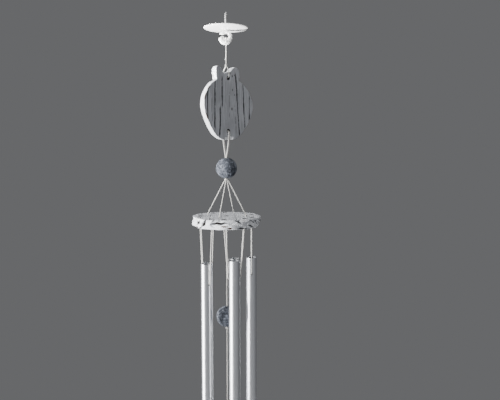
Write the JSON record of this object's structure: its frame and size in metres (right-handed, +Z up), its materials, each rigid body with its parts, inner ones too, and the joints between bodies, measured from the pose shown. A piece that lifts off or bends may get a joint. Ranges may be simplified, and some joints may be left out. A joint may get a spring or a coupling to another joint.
{
  "type": "wind chime",
  "caption": "Hanging wind chime with a ceiling hook and plate, an eared wooden plaque, a bead and a round wooden crown that carries graduated metal tubes, a ball clapper and a wooden sail.",
  "frame": {"origin": "centre of the cover plate's ceiling face, where the hook's shank leaves it", "axes": "+Z up along the shank into the ceiling, and the plaque's face looks along -Y"},
  "size_m": [0.102, 0.102, 0.841],
  "materials": {
    "plate_white": "satin",
    "hook_white": "satin",
    "cord": "matte",
    "board_wood": "matte",
    "mottled_ball": "matte",
    "aluminium": "polished"
  },
  "bodies": {
    "ceiling_mount": {"ceiling_plate": "plate_white", "ceiling_hook": "hook_white"},
    "hanger": {"hanger_cord_upper": "cord", "hanger_knot": "cord", "hanger_cord_lower": "cord"},
    "plaque": {"plaque": "board_wood"},
    "crown": {"suspension_cord_1": "cord", "suspension_cord_2": "cord", "bead": "mottled_ball", "bead_knot": "cord", "crown_disc": "board_wood", "suspension_knots": "cord", "tube_cord_knots": "cord", "clapper_anchor": "cord"},
    "tube_cord_1": {"tube_cord_1": "cord"},
    "tube_cord_2": {"tube_cord_2": "cord"},
    "tube_cord_3": {"tube_cord_3": "cord"},
    "tube_cord_4": {"tube_cord_4": "cord"},
    "tube_cord_5": {"tube_cord_5": "cord"},
    "tube_1": {"chime_tube_1": "aluminium"},
    "tube_2": {"chime_tube_2": "aluminium"},
    "tube_3": {"chime_tube_3": "aluminium"},
    "tube_4": {"chime_tube_4": "aluminium"},
    "tube_5": {"chime_tube_5": "aluminium"},
    "clapper_swivel": {"clapper_top_knot": "cord"},
    "clapper": {"clapper_cord": "cord", "clapper_ball": "mottled_ball", "clapper_knot": "cord"},
    "sail_line": {"sail_cord": "cord", "sail_knot": "cord", "sail_loop": "cord"},
    "sail": {"wind_sail": "board_wood"}
  },
  "joints": [
    {"name": "hanger_swing", "type": "hinge", "parent": "ceiling_mount", "child": "hanger", "pos_m": [0, 0, -0.0193], "axis": [0.809, -0.5878, 0], "range_deg": [-20, 20]},
    {"name": "plaque_rock", "type": "hinge", "parent": "hanger", "child": "plaque", "pos_m": [0, 0, -0.0715], "axis": [0, 1, 0], "range_deg": [-12, 12]},
    {"name": "crown_swing", "type": "hinge", "parent": "plaque", "child": "crown", "pos_m": [0, 0, -0.147], "axis": [0, 1, 0], "range_deg": [-15, 15]},
    {"name": "tube_cord_1_swing", "type": "hinge", "parent": "crown", "child": "tube_cord_1", "pos_m": [-0.03672, 0.00064, -0.2855], "axis": [0.0175, 0.9998, 0], "range_deg": [-3.2, 18]},
    {"name": "tube_1_pivot", "type": "hinge", "parent": "tube_cord_1", "child": "tube_1", "pos_m": [-0.03672, 0.00064, -0.3686], "axis": [-0.0175, -0.9998, 0], "range_deg": [-12, 4]},
    {"name": "tube_cord_2_swing", "type": "hinge", "parent": "crown", "child": "tube_cord_2", "pos_m": [-0.01196, -0.03473, -0.2855], "axis": [-0.9455, 0.3256, 0], "range_deg": [-3.2, 18]},
    {"name": "tube_2_pivot", "type": "hinge", "parent": "tube_cord_2", "child": "tube_2", "pos_m": [-0.01196, -0.03473, -0.3588], "axis": [0.9455, -0.3256, 0], "range_deg": [-12, 4]},
    {"name": "tube_cord_3_swing", "type": "hinge", "parent": "crown", "child": "tube_cord_3", "pos_m": [0.02933, -0.0221, -0.2855], "axis": [-0.6018, -0.7986, 0], "range_deg": [-3.2, 18]},
    {"name": "tube_3_pivot", "type": "hinge", "parent": "tube_cord_3", "child": "tube_3", "pos_m": [0.02933, -0.0221, -0.3579], "axis": [0.6018, 0.7986, 0], "range_deg": [-12, 4]},
    {"name": "tube_cord_4_swing", "type": "hinge", "parent": "crown", "child": "tube_cord_4", "pos_m": [0.03009, 0.02107, -0.2855], "axis": [0.5736, -0.8192, 0], "range_deg": [-3.2, 18]},
    {"name": "tube_4_pivot", "type": "hinge", "parent": "tube_cord_4", "child": "tube_4", "pos_m": [0.03009, 0.02107, -0.3681], "axis": [-0.5736, 0.8192, 0], "range_deg": [-12, 4]},
    {"name": "tube_cord_5_swing", "type": "hinge", "parent": "crown", "child": "tube_cord_5", "pos_m": [-0.01074, 0.03512, -0.2855], "axis": [0.9563, 0.2924, 0], "range_deg": [-3.2, 18]},
    {"name": "tube_5_pivot", "type": "hinge", "parent": "tube_cord_5", "child": "tube_5", "pos_m": [-0.01074, 0.03512, -0.378], "axis": [-0.9563, -0.2924, 0], "range_deg": [-12, 4]},
    {"name": "clapper_swing_fore_aft", "type": "hinge", "parent": "crown", "child": "clapper_swivel", "pos_m": [0, 0, -0.2861], "axis": [1, 0, 0], "range_deg": [-5, 5]},
    {"name": "clapper_swing_sideways", "type": "hinge", "parent": "clapper_swivel", "child": "clapper", "pos_m": [0, 0, -0.2861], "axis": [0, -1, 0], "range_deg": [-3.3, 7]},
    {"name": "sail_line_swing", "type": "hinge", "parent": "clapper", "child": "sail_line", "pos_m": [0, 0, -0.44198], "axis": [1, 0, 0], "range_deg": [-6, 6]},
    {"name": "sail_rock", "type": "hinge", "parent": "sail_line", "child": "sail", "pos_m": [0, 0, -0.765], "axis": [0, 1, 0], "range_deg": [-20, 20]}
  ]
}
